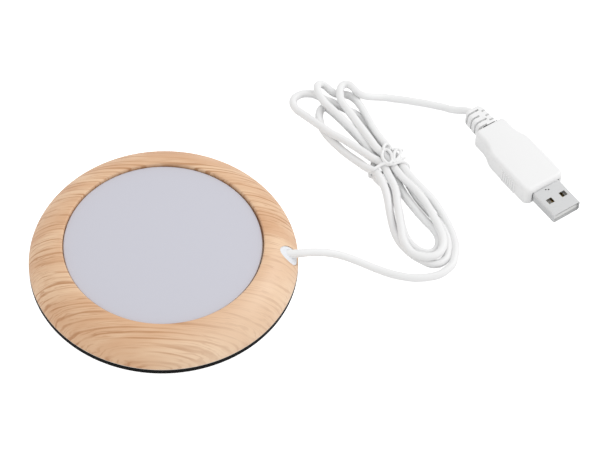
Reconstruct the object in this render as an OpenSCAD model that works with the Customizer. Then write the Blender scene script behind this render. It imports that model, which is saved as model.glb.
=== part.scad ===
// USB mug warmer: a round warmer in a domed ring, with its cord, hank and plug.
// Millimetres. +Z is up, the feet stand on z = 0, and the cord leaves along +X.

/* [Body] */
// Outside diameter of the ring and of the base
body_d = 96; // [94:1:106]
// Height of the ring, from the base up to its lip
ring_h = 10.6; // [10.2:0.1:13]
// Thickness of the base, which shows as the dark band
base_h = 1.9; // [1.7:0.1:3]
// Gap that the feet leave under the base
stand_h = 0.8; // [0.4:0.1:2]

/* [Ring] */
// Diameter of the opening round the heating plate
lip_d = 71.2; // [68:0.2:72]
// Thickness of the domed wall
ring_wall = 2; // [1.4:0.1:2.4]
// Thickness of the wall that stands round the plate
skirt_wall = 1.6; // [1.2:0.1:2]
// Height of the ring's straight band below the dome
band_h = 0.5; // [0.3:0.1:1.2]
// Shape of the dome: 2 is an ellipse, less is flatter
dome_power = 1.7; // [1.5:0.1:2.2]
// Radius of the lip's inner corner
lip_round = 0.6; // [0.3:0.1:1]
// Width of the ledge that carries the plate
ledge_w = 3.6; // [3:0.1:4.5]
// Thickness of that ledge
ledge_t = 1.5; // [1.2:0.1:2]

/* [Heating plate] */
// Thickness of the plate
plate_t = 1.5; // [1:0.1:2]
// Depth of the plate below the lip
plate_recess = 1.2; // [1:0.1:3]
// Gap all round the plate
plate_gap = 0.4; // [0.2:0.1:0.8]
// Bevel on the plate's top edge
plate_bevel = 0.3; // [0.1:0.1:0.5]
// Thickness of the seal under the plate
seal_t = 0.5; // [0.3:0.1:0.8]
// Width of the seal
seal_w = 2.6; // [1.6:0.1:2.8]

/* [Heater] */
// Diameter of the heater film
film_d = 60; // [56:1:61]
// Thickness of the heater film
film_t = 0.3; // [0.2:0.1:0.4]
// Thickness of the heating track
track_t = 0.1; // [0.1:0.05:0.2]
// Width of the heating track
track_w = 1.6; // [1:0.1:1.8]
// Number of runs that the track makes between its middle and its rim
track_runs = 8; // [4:2:8]
// Thickness of the insulation pad
pad_t = 1.6; // [1.2:0.1:1.8]
// Thickness of the retainer that presses the pad up
retainer_t = 0.8; // [0.6:0.1:1]
// Diameter of the thermal fuse
fuse_d = 2; // [1.6:0.1:2.2]
// Length of the thermal fuse
fuse_l = 6; // [5:0.5:9]
// Wall of the sleeve over the fuse
sleeve_wall = 0.4; // [0.3:0.1:0.5]
// Diameter of the inner wires
wire_d = 1.2; // [0.9:0.1:1.3]

/* [Base and feet] */
// Width of the rim that centres the ring on the base
rim_w = 1.3; // [1:0.1:1.4]
// Height of that rim
rim_h = 1.5; // [1:0.1:2]
// Gap between the rim and the ring
rim_gap = 0.3; // [0.2:0.1:0.4]
// Diameter of a foot
foot_d = 9; // [7:0.5:10]
// Depth of the pocket that holds a foot
foot_pocket = 0.4; // [0.3:0.1:0.6]
// Distance of the feet from the middle
foot_r = 40; // [36:0.5:41]

/* [Screws] */
// Thread diameter of the base screws
screw_d = 2.3; // [2:0.1:2.6]
// Length of a base screw under its head
screw_l = 8; // [6:0.5:8]
// Diameter of a base screw's head
screw_head_d = 4.2; // [3.8:0.1:4.6]
// Height of a base screw's head
screw_head_h = 0.8; // [0.6:0.1:1]
// Distance of the base screws from the middle
screw_r = 41.5; // [41:0.1:41.8]
// Wall of the bosses round the base screws
boss_wall = 1.4; // [1.2:0.1:1.5]
// Thread diameter of the small screws
small_d = 1.7; // [1.5:0.1:1.9]
// Length of a small screw under its head
small_l = 3.6; // [3.4:0.1:4.2]
// Diameter of a small screw's head
small_head_d = 3.2; // [2.8:0.1:3.4]
// Height of a small screw's head
small_head_h = 1; // [0.7:0.1:1.1]

/* [Cord] */
// Diameter of the cord
cord_d = 3; // [2.8:0.1:3.2]
// Height of the cord's hole above the base
port_rise = 5.9; // [5.7:0.1:6.1]
// Diameter of the cord's hole
port_d = 7; // [6:0.1:7.2]
// Depth of the grommet below the dome
grommet_inset = 0.3; // [0.1:0.1:0.5]
// Width of the clamp bar along the cord
clamp_w = 4; // [3:0.5:4.5]
// Thickness of the clamp bar
clamp_t = 1.2; // [0.8:0.1:1.3]
// Thickness of the tie
tie_t = 0.9; // [0.7:0.1:1]
// Width of the tie's band
tie_w = 1.2; // [0.9:0.1:1.5]
// Width of the cord's bundle inside the tie
bundle_w = 12.4; // [12:0.2:13]
// Height of the cord's bundle inside the tie
bundle_h = 6.2; // [6:0.1:6.6]
// Height of the hank's lobes
lobe_h = 6.2; // [5.8:0.1:6.6]

/* [Plug] */
// Width of the plug's grip
grip_w = 17.8; // [16:0.2:18.6]
// Length of the plug's grip
grip_l = 25; // [22:0.5:27]
// Thickness of the plug's grip
grip_t = 8.4; // [7.6:0.1:9]
// Roundness of the grip's edges
grip_round = 2.4; // [1.5:0.1:3]
// Width of the plug's shoulder
shoulder_w = 13.2; // [12:0.2:14]
// Length of the plug's shoulder
shoulder_l = 9; // [7:0.5:11]
// Width of the strain relief
relief_w = 9; // [8:0.2:10]
// Thickness of the strain relief
relief_t = 7; // [6.4:0.1:7.4]
// Length of the strain relief
relief_l = 11.5; // [10:0.5:13]
// Number of slots across the strain relief
relief_slots = 4; // [3:1:5]
// Width of a slot
slot_w = 0.8; // [0.5:0.1:1]
// Width of the metal shell
shell_w = 12; // [11.9:0.1:12.1]
// Height of the metal shell
shell_h = 4.5; // [4.4:0.1:4.6]
// Length of the shell that shows
shell_out = 12.5; // [11.8:0.1:13]
// Length of the shell inside the grip
shell_in = 6.2; // [5:0.1:7]
// Thickness of the shell's metal
shell_wall = 0.3; // [0.25:0.05:0.4]
// Width of a hole in the shell
shell_hole_w = 2.4; // [2:0.1:2.6]
// Length of a hole in the shell
shell_hole_l = 1.9; // [1.6:0.1:2.2]
// Distance between the shell's two holes
shell_hole_gap = 6; // [5:0.1:6.2]

/* [Hidden] */

// Facets of round pieces, of small round pieces, and sides of a cord's tube
round_fn = 128;
small_fn = 32;
tube_sides = 8;
// Clearance where one piece slides into another
slip = 0.05;
// Overlap that makes sure of a cut or a join
over = 1;
// Steps along the dome's curve
dome_steps = 18;
lip_steps = 5;

// Heights, from the table up
base_z = stand_h;
base_top = base_z + base_h;
ring_top = base_top + ring_h;
plate_top = ring_top - plate_recess;
plate_z = plate_top - plate_t;
ledge_top = plate_z - seal_t;
ledge_z = ledge_top - ledge_t;
film_z = plate_z - film_t;
track_z = film_z - track_t;
pad_z = ledge_z;
retainer_z = ledge_z - retainer_t;
band_z = base_top + band_h;
port_z = base_top + port_rise;
foot_t = stand_h + foot_pocket;

// Radii of the body
body_r = body_d / 2;
lip_r = lip_d / 2;
skirt_r = lip_r + skirt_wall;
ledge_r = lip_r - ledge_w;
plate_r = lip_r - plate_gap;
film_r = film_d / 2;
cord_r = cord_d / 2;
wire_r = wire_d / 2;
port_r = port_d / 2;
rim_r = body_r - ring_wall - rim_gap;

// Heating track
track_inner_r = 5;
track_margin = 2;
track_outer_r = film_r - track_margin;
track_pitch = (track_outer_r - track_inner_r) / (track_runs - 1);
track_gap = 3;
joint_r = 1.2;
joint_h = 1.6;
joint_x = track_outer_r;
joint_y = (track_gap + track_w) / 2;
joint_z = track_z - joint_h / 2;

// Notch that the pad and the retainer leave over the clamp
notch_x = 21;
notch_w = 17.4;
pad_r = ledge_r - 2.3;
retainer_r = ledge_r + 2.2;

// Retainer screws and their ears
ear_wall = 0.95;
ear_r = skirt_r + small_d / 2 + ear_wall;
ear_round = 2.6;
ear_arm_l = ear_r - retainer_r + ear_round;
ear_angles = [90, 210, 330];
small_pilot_d = small_d - 0.3;
pilot_spare = 0.3;
// A thin shank stands for a screw that has cut its thread
small_shank_d = small_pilot_d - 2 * slip;
screw_pilot_d = screw_d - 0.4;
screw_shank_d = screw_pilot_d - 2 * slip;
screw_hole_d = screw_d + 0.2;
screw_angles = [45, 135, 225, 315];
foot_angles = [0, 90, 180, 270];
sink_h = screw_head_h + 0.1;
sink_d = screw_head_d + 0.4;
slot_depth = 0.4;
driver_slot_w = 0.6;

// Half the distance between the cord's two cores
core_gap = 0.7;

// Thermal fuse, across the cord's line under the heater
fuse_x = 8;
fuse_r = fuse_d / 2;
sleeve_r = fuse_r + slip + sleeve_wall;
fuse_z = track_z - sleeve_r;
sleeve_l = fuse_l + 2;
lead_r = 0.3;
lead_l = 4;
crimp_wall = 0.5;
crimp_l = 4;
crimp_y = fuse_l / 2 + lead_l;
fuse_slot_w = 2 * sleeve_r + 1.6;
fuse_slot_l = 2 * crimp_y + 18;

// Cord's way in: straight through the grommet, then down to the clamp
exit_x = body_r - 1.2;
grommet_x = skirt_r + 2.4;
grommet_r = port_r - slip;
port_block_w = port_d + 5.4;
port_slot_w = cord_d + 0.8;
port_slot_low = port_z - cord_d;
port_slot_high = port_z + cord_r + 0.4;
clamp_x = 28.5;
clamp_z = base_top + cord_d;
clamp_hole_y = joint_y + joint_r + small_head_d / 2 + 0.2;
clamp_post_r = 2;
clamp_l = 2 * (clamp_hole_y + clamp_post_r);
cord_end_x = clamp_x - 3.5;
floor_z = base_top + cord_r;
drop = port_z - floor_z;
cord_inner_route = [
    [cord_end_x, 0, floor_z],
    [clamp_x, 0, floor_z],
    [clamp_x + 2.1, 0, floor_z],
    [clamp_x + 3.5, 0, floor_z + 0.08 * drop],
    [clamp_x + 5.1, 0, floor_z + 0.28 * drop],
    [clamp_x + 6.7, 0, floor_z + 0.56 * drop],
    [clamp_x + 8.3, 0, floor_z + 0.83 * drop],
    [grommet_x - 1.2, 0, port_z - 0.1],
    [grommet_x, 0, port_z],
    [exit_x, 0, port_z]
];

// Wires inside the body
wire_rise = 2;
positive_route = [
    [cord_end_x, core_gap, floor_z],
    [cord_end_x - 1.5, core_gap, floor_z],
    [20, 3, floor_z - 0.2],
    [16, 7.5, floor_z - 0.4],
    [12, 12, floor_z],
    [fuse_x + 1.2, crimp_y + 6, floor_z + wire_rise - 0.4],
    [fuse_x, crimp_y + 4, fuse_z - 0.3],
    [fuse_x, crimp_y + 2.6, fuse_z],
    [fuse_x, crimp_y + 0.2, fuse_z]
];
fuse_route = [
    [fuse_x, -crimp_y - 0.2, fuse_z],
    [fuse_x, -crimp_y - 2.6, fuse_z],
    [fuse_x, -crimp_y - 4, fuse_z - 0.3],
    [fuse_x + 0.8, -crimp_y - 5.6, floor_z + wire_rise - 0.4],
    [12, -11.5, floor_z + 0.6],
    [18, -6.5, floor_z + 0.6],
    [22.2, -3.8, floor_z + wire_rise],
    [23, -joint_y - 0.4, joint_z - 1],
    [24.4, -joint_y, joint_z],
    [joint_x, -joint_y, joint_z]
];
negative_route = [
    [cord_end_x, -core_gap, floor_z],
    [cord_end_x - 1.2, -core_gap, floor_z],
    [cord_end_x - 2.4, -0.2, floor_z + 0.8],
    [cord_end_x - 2.6, 0.8, floor_z + wire_rise],
    [23, joint_y - 0.2, joint_z - 1],
    [24.4, joint_y, joint_z],
    [joint_x, joint_y, joint_z]
];

// Plug: lies flat, turned about Z, with its origin where the shell enters the grip
plug_x = 137;
plug_y = 39;
plug_turn = -53;
plug_z = grip_t / 2;
relief_x = grip_l + shoulder_l;
plug_back = relief_x + relief_l;
section_round = 3.2;
corner_round = 2;
slot_pitch = relief_l / (relief_slots + 1);
relief_core_r = cord_r + 0.8;
shell_round = 0.6;
mould_l = 14;
mould_w = 12.4;
mould_h = 5;
mould_x = -shell_in - mould_l;
tongue_w = shell_w - 2 * shell_wall - 0.2;
tongue_h = 1.9;
tongue_low = shell_wall + 0.05 - shell_h / 2;
tongue_top = tongue_low + tongue_h;
tongue_end = 0.9;
contact_t = 0.25;
contact_w = 1;
contact_ys = [-3.5, -1, 1, 3.5];
outer_contact_l = 9.2;
inner_contact_l = 8.2;
contact_tail = 2;
plug_wire_r = 0.5;
core_y = 0.8;
cord_end_gap = 0.2;

function plug_point(back) =
    [plug_x - back * cos(plug_turn), plug_y - back * sin(plug_turn), plug_z];

// Route of the cord outside, laid by hand: the hank takes the middle of it
lead_route = concat([[exit_x, 0, port_z], [exit_x + 1.5, 0, port_z]], [
    [52, 1.5, 8.5],
    [56, 2.5, 7.5],
    [62.5, 3.5, 5.5],
    [70, 2.5, 3.5],
    [77, 0.5, 2],
    [84.5, -1, 1.5],
    [91.5, -1.5, 1.5],
    [98.5, 0, 1.5],
    [103, 4.5, 1.5],
    [104, 8.5, 1.5],
    [104, 13, 1.5]
]);
tail_route = concat([
    [65.5, 82.5, 3],
    [68, 82.5, 3],
    [72, 82.5, 2],
    [78, 82.5, 1.5],
    [85, 82, 1.5],
    [92, 81, 1.5],
    [98.5, 79.5, 2],
    [102.5, 78, 2.5],
    [106, 76.5, 3.5]
], [plug_point(plug_back + 0.6), plug_point(plug_back)]);

// Hank: circles that its two lobes are drawn round, and the tie between them
tie_pos = [79, 47.5];
tie_angle = -61;
tie_r = slip + tie_t;
bundle_z = tie_r + bundle_h / 2;
bundle_round = 3;
bundle_l = 6;
lower_lobe = [[79, 47.5, 5.5], [86, 32.5, 7.5], [92.5, 16.5, 10.4], [94, 11, 8.2]];
lower_edge = [[104, 14.5, 1.5], [102, 20, 2], [97, 27, 3]];
upper_lobe = [[79, 47.5, 5.5], [65, 61, 6.2], [48, 77.5, 6]];
middle_tip = [[65, 61, 6.2], [54, 84, 3.4]];
tail_tip = [[65, 61, 6.2], [61.5, 76.5, 2.4], [62.8, 82.3, 3.7]];
lower_hole = [[93, 16, 4.4], [86, 33, 1]];
upper_hole = [[47.5, 77.5, 2.8], [51, 74.5, 2]];
middle_hole = [[57, 70.5, 1.6], [65, 61, 0.8]];
end_cut = 5;
tie_top = bundle_h / 2 + slip + tie_t / 2;
tie_legs = [
    [[0, 0, tie_top], [2.5, 1, tie_top + 0.8], [5, 2.5, 3.8], [7, 4.5, 3]],
    [[0, 0, tie_top], [3, -1, tie_top + 0.4], [5.5, -1, 3.8], [7.5, -1, 3.2]]
];

// ---- Paths and tubes ----

function unit(v) = v / norm(v);

function path_dir(p, i) = unit(p[min(i + 1, len(p) - 1)] - p[max(i - 1, 0)]);

function path_side(p, i) = unit(cross(path_dir(p, i), [0, 0, 1]));

function path_ring(p, i, r) =
    let (side = path_side(p, i), lift = cross(side, path_dir(p, i)))
    [for (k = [0:tube_sides - 1])
        let (a = 360 * k / tube_sides)
        p[i] + r * (cos(a) * side + sin(a) * lift)];

function tube_faces(count) = concat(
    [[for (k = [tube_sides - 1:-1:0]) k]],
    [[for (k = [0:tube_sides - 1]) (count - 1) * tube_sides + k]],
    [for (i = [0:count - 2], k = [0:tube_sides - 1], half = [0, 1])
        let (
            a = i * tube_sides + k,
            b = i * tube_sides + (k + 1) % tube_sides,
            c = b + tube_sides,
            d = a + tube_sides
        )
        half == 0 ? [a, b, c] : [a, c, d]]
);

// Round tube along a list of points, with a flat end at each end
module tube(route, r) {
    polyhedron(
        points = [for (i = [0:len(route) - 1], q = path_ring(route, i, r)) q],
        faces = tube_faces(len(route))
    );
}

// Straight round rod between two points, made longer at both ends by extra
module rod(from, to, r, extra) {
    way = to - from;
    translate(from)
        rotate([0, acos(way[2] / norm(way)), atan2(way[1], way[0])])
            translate([0, 0, -extra])
                cylinder(r = r, h = norm(way) + 2 * extra, $fn = small_fn);
}

// Straight sides from one circle to another, which start just inside both
module taper_sides(a, b) {
    way = [b[0] - a[0], b[1] - a[1]];
    turn = atan2(way[1], way[0]);
    lean = acos((a[2] - b[2]) / norm(way));
    polygon([
        for (end = [[a, 1], [b, 1], [b, -1], [a, -1]])
            let (c = end[0], t = turn + end[1] * lean, r = c[2] - slip)
            [c[0] + r * cos(t), c[1] + r * sin(t)]
    ]);
}

// Outline round a chain of circles
module taper_chain(circles) {
    for (c = circles) translate([c[0], c[1]]) circle(r = c[2], $fn = 2 * small_fn);
    for (i = [0:len(circles) - 2]) taper_sides(circles[i], circles[i + 1]);
}

// Rectangle with round corners, centred
module round_rect(w, h, r) {
    square([w - 2 * r, h], center = true);
    square([w, h - 2 * r], center = true);
    for (x = [-1, 1], y = [-1, 1])
        translate([x * (w / 2 - r), y * (h / 2 - r)]) circle(r = r, $fn = small_fn);
}

// Block along X, round along its edges and at its corners seen from above
module soft_block(x0, x1, w, t, edge_r, corner_r) {
    intersection() {
        translate([(x0 + x1) / 2, 0, -t])
            linear_extrude(2 * t) round_rect(x1 - x0, w, corner_r);
        translate([x0 - over, 0, 0]) rotate([90, 0, 90])
            linear_extrude(x1 - x0 + 2 * over) round_rect(w, t, edge_r);
    }
}

// ---- Shape of the dome ----

// Arc from the lip, or from the cavity's top, down to the band
function dome_arc(r_in, z_high, r_out, z_low) = [
    for (i = [0:dome_steps])
        let (t = 90 * i / dome_steps)
        [r_in + (r_out - r_in) * pow(sin(t), 2 / dome_power),
         z_low + (z_high - z_low) * pow(cos(t), 2 / dome_power)]
];

function reversed(list) = [for (i = [len(list) - 1:-1:0]) list[i]];

function lip_arc() = [
    for (i = [0:lip_steps])
        let (t = 180 - 90 * i / lip_steps)
        [lip_r + lip_round * (1 + cos(t)), ring_top - lip_round * (1 - sin(t))]
];

outer_arc = dome_arc(lip_r + lip_round, ring_top, body_r, band_z);
inner_arc = dome_arc(skirt_r, ring_top - ring_wall, body_r - ring_wall, band_z);

module ring_shell() {
    rotate_extrude($fn = round_fn) polygon(concat(
        lip_arc(),
        [for (i = [1:dome_steps]) outer_arc[i]],
        [[body_r, base_top], [body_r - ring_wall, base_top]],
        reversed(inner_arc),
        [[skirt_r, ledge_z], [ledge_r, ledge_z], [ledge_r, ledge_top], [lip_r, ledge_top]]
    ));
}

// Everything under the dome's skin, down to the base, drawn in by an inset
module dome_solid(inset) {
    rotate_extrude($fn = round_fn) polygon(concat(
        [[0, base_top], [0, ring_top - inset]],
        dome_arc(lip_r + lip_round, ring_top - inset, body_r - inset, band_z),
        [[body_r - inset, base_top]]
    ));
}

module at_polar(r, angles) {
    for (a = angles) rotate([0, 0, a]) translate([r, 0, 0]) children();
}

// ---- Body ----

module top_ring() {
    color([0.79, 0.56, 0.33]) difference() {
        union() {
            ring_shell();
            intersection() {
                dome_solid(ring_wall / 2);
                union() {
                    at_polar(screw_r, screw_angles) translate([0, 0, base_top])
                        cylinder(r = screw_d / 2 + boss_wall, h = ring_h, $fn = small_fn);
                    at_polar(ear_r, ear_angles) translate([0, 0, ledge_z])
                        cylinder(r = small_d / 2 + boss_wall, h = ring_h, $fn = small_fn);
                    translate([skirt_r - skirt_wall / 2, -port_block_w / 2, base_top])
                        cube([body_r - skirt_r, port_block_w, ring_h]);
                }
            }
        }
        at_polar(screw_r, screw_angles) translate([0, 0, base_top - over])
            cylinder(d = screw_pilot_d, h = over + screw_l + sink_h - base_h + pilot_spare,
                $fn = small_fn);
        at_polar(ear_r, ear_angles) translate([0, 0, ledge_z - over])
            cylinder(d = small_pilot_d, h = over + small_l - retainer_t + pilot_spare,
                $fn = small_fn);
        translate([grommet_x, 0, port_z]) rotate([0, 90, 0])
            cylinder(r = port_r, h = body_r, $fn = 2 * small_fn);
        translate([ledge_r - over, -port_slot_w / 2, port_slot_low])
            cube([grommet_x + over - ledge_r + slip, port_slot_w,
                port_slot_high - port_slot_low]);
    }
}

module heating_plate() {
    color([0.79, 0.79, 0.84]) rotate_extrude($fn = round_fn) polygon([
        [0, plate_z],
        [plate_r, plate_z],
        [plate_r, plate_top - plate_bevel],
        [plate_r - plate_bevel, plate_top],
        [0, plate_top]
    ]);
}

module plate_seal() {
    color([0.85, 0.85, 0.82]) translate([0, 0, ledge_top]) linear_extrude(seal_t)
        difference() {
            circle(r = lip_r - plate_gap, $fn = round_fn);
            circle(r = lip_r - plate_gap - seal_w, $fn = round_fn);
        }
}

module heater_film() {
    color([0.78, 0.46, 0.12]) translate([0, 0, film_z])
        cylinder(r = film_r, h = film_t, $fn = round_fn);
}

// Straight bridge from one run of the track to the next one out
module track_bridge(run, y) {
    r = track_inner_r + run * track_pitch;
    reach = track_pitch + track_w;
    x = run % 2 == 0 ? -r - reach + track_w / 2 : r - track_w / 2;
    translate([x, y - track_w / 2 - slip]) square([reach, track_w + 2 * slip]);
}

module track_run(run) {
    r = track_inner_r + run * track_pitch;
    difference() {
        circle(r = r + track_w / 2, $fn = round_fn);
        circle(r = r - track_w / 2, $fn = round_fn);
        translate([-r - track_w, -track_gap / 2]) square([r + track_w, track_gap]);
        if (run > 0) translate([0, -track_gap / 2]) square([r + track_w, track_gap]);
    }
}

// One line of foil: in by half rings on one side, and out again on the other
module heater_track() {
    color([0.72, 0.45, 0.2]) translate([0, 0, track_z]) linear_extrude(track_t)
        for (run = [0:track_runs - 1]) {
            track_run(run);
            if (run < track_runs - 1)
                for (y = [-joint_y, joint_y]) track_bridge(run, y);
        }
}

module thermal_fuse() {
    color([0.7, 0.72, 0.75]) translate([fuse_x, 0, fuse_z]) rotate([90, 0, 0]) {
        cylinder(r = fuse_r, h = fuse_l, center = true, $fn = small_fn);
        cylinder(r = lead_r, h = 2 * crimp_y, center = true, $fn = small_fn);
    }
}

module fuse_sleeve() {
    color([0.93, 0.92, 0.86]) translate([fuse_x, 0, fuse_z]) rotate([90, 0, 0])
        difference() {
            cylinder(r = sleeve_r, h = sleeve_l, center = true, $fn = small_fn);
            cylinder(r = fuse_r + slip, h = sleeve_l + over, center = true, $fn = small_fn);
        }
}

module clamp_notch() {
    translate([notch_x, -notch_w / 2]) square([body_r, notch_w]);
}

module fuse_slot() {
    translate([fuse_x, 0]) square([fuse_slot_w, fuse_slot_l], center = true);
}

module insulation_pad() {
    color([0.88, 0.88, 0.84]) translate([0, 0, pad_z])
        linear_extrude(min(pad_t, track_z - pad_z)) difference() {
            circle(r = pad_r, $fn = round_fn);
            clamp_notch();
            fuse_slot();
        }
}

module heater_retainer() {
    color([0.72, 0.73, 0.74]) translate([0, 0, retainer_z]) difference() {
        union() {
            cylinder(r = retainer_r, h = retainer_t, $fn = round_fn);
            at_polar(ear_r, ear_angles) {
                cylinder(r = ear_round, h = retainer_t, $fn = small_fn);
                translate([-ear_arm_l, slip - ear_round, 0])
                    cube([ear_arm_l, 2 * (ear_round - slip), retainer_t]);
            }
        }
        translate([0, 0, -over]) linear_extrude(retainer_t + 2 * over) {
            clamp_notch();
            fuse_slot();
        }
        at_polar(ear_r, ear_angles) translate([0, 0, -over])
            cylinder(d = small_d + 0.2, h = retainer_t + 2 * over, $fn = small_fn);
    }
}

// Cross-slotted screw that points up, with the underside of its head at z = 0
module screw(head_d, head_h, shank_d, length) {
    difference() {
        union() {
            translate([0, 0, -head_h]) cylinder(d = head_d, h = head_h, $fn = small_fn);
            translate([0, 0, -head_h / 2])
                cylinder(d = shank_d, h = length + head_h / 2, $fn = small_fn);
        }
        for (a = [0, 90]) rotate([0, 0, a])
            translate([-head_d / 3, -driver_slot_w / 2, -head_h - over])
                cube([head_d * 2 / 3, driver_slot_w, over + slot_depth]);
    }
}

module retainer_screws() {
    color([0.75, 0.75, 0.76]) at_polar(ear_r, ear_angles) translate([0, 0, retainer_z])
        screw(small_head_d, small_head_h, small_shank_d, small_l);
}

module base_cover() {
    color([0.05, 0.05, 0.055]) difference() {
        union() {
            translate([0, 0, base_z]) cylinder(r = body_r, h = base_h, $fn = round_fn);
            difference() {
                translate([0, 0, base_top - over])
                    cylinder(r = rim_r, h = rim_h + over, $fn = round_fn);
                cylinder(r = rim_r - rim_w, h = ring_top, $fn = round_fn);
                translate([0, -port_block_w / 2 - rim_gap, base_top])
                    cube([body_r, port_block_w + 2 * rim_gap, ring_h]);
            }
            for (y = [-clamp_hole_y, clamp_hole_y])
                translate([clamp_x, y, base_top - over])
                    cylinder(r = clamp_post_r, h = cord_d + over, $fn = small_fn);
        }
        at_polar(screw_r, screw_angles) translate([0, 0, base_z - over]) {
            cylinder(d = screw_hole_d, h = base_h + rim_h + 2 * over, $fn = small_fn);
            cylinder(d = sink_d, h = sink_h + over, $fn = small_fn);
        }
        at_polar(foot_r, foot_angles) translate([0, 0, base_z - over])
            cylinder(d = foot_d + 2 * slip, h = foot_pocket + over, $fn = small_fn);
        for (y = [-clamp_hole_y, clamp_hole_y])
            translate([clamp_x, y, clamp_z - small_l + clamp_t - pilot_spare])
                cylinder(d = small_pilot_d, h = small_l + over, $fn = small_fn);
    }
}

module base_screws() {
    color([0.7, 0.7, 0.72]) at_polar(screw_r, screw_angles) translate([0, 0, base_z + sink_h])
        screw(screw_head_d, screw_head_h, screw_shank_d, screw_l);
}

module rubber_feet() {
    color([0.12, 0.12, 0.12]) at_polar(foot_r, foot_angles)
        cylinder(d = foot_d, h = foot_t, $fn = small_fn);
}

// ---- Cord inside the body ----

module cord_grommet() {
    color([0.93, 0.93, 0.93]) difference() {
        intersection() {
            translate([grommet_x, 0, port_z]) rotate([0, 90, 0])
                cylinder(r = grommet_r, h = body_r, $fn = 2 * small_fn);
            dome_solid(grommet_inset);
        }
        translate([grommet_x - over, 0, port_z]) rotate([0, 90, 0])
            cylinder(r = cord_r + slip, h = body_r, $fn = small_fn);
    }
}

module cord_inner() {
    color([0.92, 0.92, 0.92]) tube(cord_inner_route, cord_r);
}

module cord_clamp() {
    color([0.15, 0.15, 0.16]) translate([clamp_x, 0, clamp_z]) difference() {
        translate([-clamp_w / 2, -clamp_l / 2, 0]) cube([clamp_w, clamp_l, clamp_t]);
        for (y = [-clamp_hole_y, clamp_hole_y]) translate([0, y, -over])
            cylinder(d = small_d + 0.2, h = clamp_t + 2 * over, $fn = small_fn);
    }
}

module clamp_screws() {
    color([0.75, 0.75, 0.76]) for (y = [-clamp_hole_y, clamp_hole_y])
        translate([clamp_x, y, clamp_z + clamp_t]) mirror([0, 0, 1])
            screw(small_head_d, small_head_h, small_shank_d, small_l);
}

module positive_wire() {
    color([0.75, 0.08, 0.06]) tube(positive_route, wire_r);
}

module negative_wire() {
    color([0.08, 0.08, 0.08]) tube(negative_route, wire_r);
}

module fuse_wire() {
    color([0.75, 0.08, 0.06]) tube(fuse_route, wire_r);
}

module wire_crimps() {
    color([0.72, 0.7, 0.66]) for (side = [-1, 1])
        translate([fuse_x, side * crimp_y, fuse_z]) rotate([90, 0, 0]) difference() {
            cylinder(r = wire_r + slip + crimp_wall, h = crimp_l, center = true, $fn = small_fn);
            cylinder(r = wire_r + slip, h = crimp_l + over, center = true, $fn = small_fn);
        }
}

module solder_joints() {
    color([0.75, 0.76, 0.78]) for (y = [-joint_y, joint_y]) difference() {
        translate([joint_x, y, track_z - joint_h])
            cylinder(r = joint_r, h = joint_h, $fn = small_fn);
        translate([joint_x - 2 * joint_r, y, joint_z]) rotate([0, 90, 0])
            cylinder(r = wire_r + slip, h = 2 * joint_r + slip, $fn = small_fn);
    }
}

// ---- Cord outside the body ----

module cord_lead() {
    color([0.93, 0.93, 0.93]) tube(lead_route, cord_r);
}

module cord_tail() {
    color([0.93, 0.93, 0.93]) tube(tail_route, cord_r);
}

// Space just past one end of a tube, where the tube meets the hank
module end_space(point, towards) {
    way = towards - point;
    translate(point) rotate([0, 0, atan2(way[1], way[0])])
        translate([0, -end_cut / 2, -end_cut]) cube([end_cut, end_cut, 2 * end_cut]);
}

// The cord between lead and tail, folded into two lobes and held by the tie
module cord_hank() {
    tie_place = [tie_pos[0], tie_pos[1], bundle_z];
    color([0.93, 0.93, 0.93]) {
        difference() {
            linear_extrude(lobe_h) difference() {
                union() {
                    taper_chain(lower_lobe);
                    taper_chain(lower_edge);
                    taper_chain(upper_lobe);
                    taper_chain(middle_tip);
                    taper_chain(tail_tip);
                }
                taper_chain(lower_hole);
                taper_chain(upper_hole);
                taper_chain(middle_hole);
            }
            translate(tie_place) rotate([0, 0, tie_angle])
                cube([bundle_l, 2 * bundle_w, 4 * bundle_h], center = true);
            end_space(lead_route[len(lead_route) - 1], lead_route[len(lead_route) - 2]);
            end_space(tail_route[0], tail_route[1]);
        }
        translate(tie_place) bundle_band(bundle_l + 2 * over) bundle_section(0);
    }
}

// Cross-section of the cord's bundle at the tie, made larger by a margin
module bundle_section(margin) {
    round_rect(bundle_w + 2 * margin, bundle_h + 2 * margin, bundle_round + margin);
}

// Carries a section along the bundle, centred on the tie
module bundle_band(l) {
    rotate([90, 0, 90 + tie_angle]) translate([0, 0, -l / 2]) linear_extrude(l) children();
}

module twist_tie() {
    color([0.95, 0.95, 0.95]) translate([tie_pos[0], tie_pos[1], bundle_z]) {
        bundle_band(tie_w) difference() {
            bundle_section(tie_r);
            bundle_section(slip);
        }
        for (leg = tie_legs) tube(leg, tie_t / 2);
    }
}

// ---- Plug ----

module in_plug() {
    translate([plug_x, plug_y, plug_z]) rotate([0, 0, plug_turn]) children();
}

module plug_body() {
    color([0.93, 0.93, 0.93]) in_plug() difference() {
        union() {
            soft_block(-grip_l, 0, grip_w, grip_t, grip_round, corner_round);
            soft_block(-relief_x, corner_round - grip_l, shoulder_w, grip_t, grip_round,
                corner_round);
            relief();
        }
        translate([-plug_back - over, 0, 0]) rotate([0, 90, 0])
            cylinder(r = cord_r + slip, h = plug_back + over + mould_x + slip, $fn = small_fn);
        translate([mould_x - slip, -mould_w / 2 - slip, -mould_h / 2 - slip])
            cube([mould_l + 2 * slip, mould_w + 2 * slip, mould_h + 2 * slip]);
        translate([-shell_in - slip, 0, 0]) rotate([90, 0, 90])
            linear_extrude(shell_in + over)
                round_rect(shell_w + 2 * slip, shell_h + 2 * slip, shell_round);
    }
}

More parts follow.
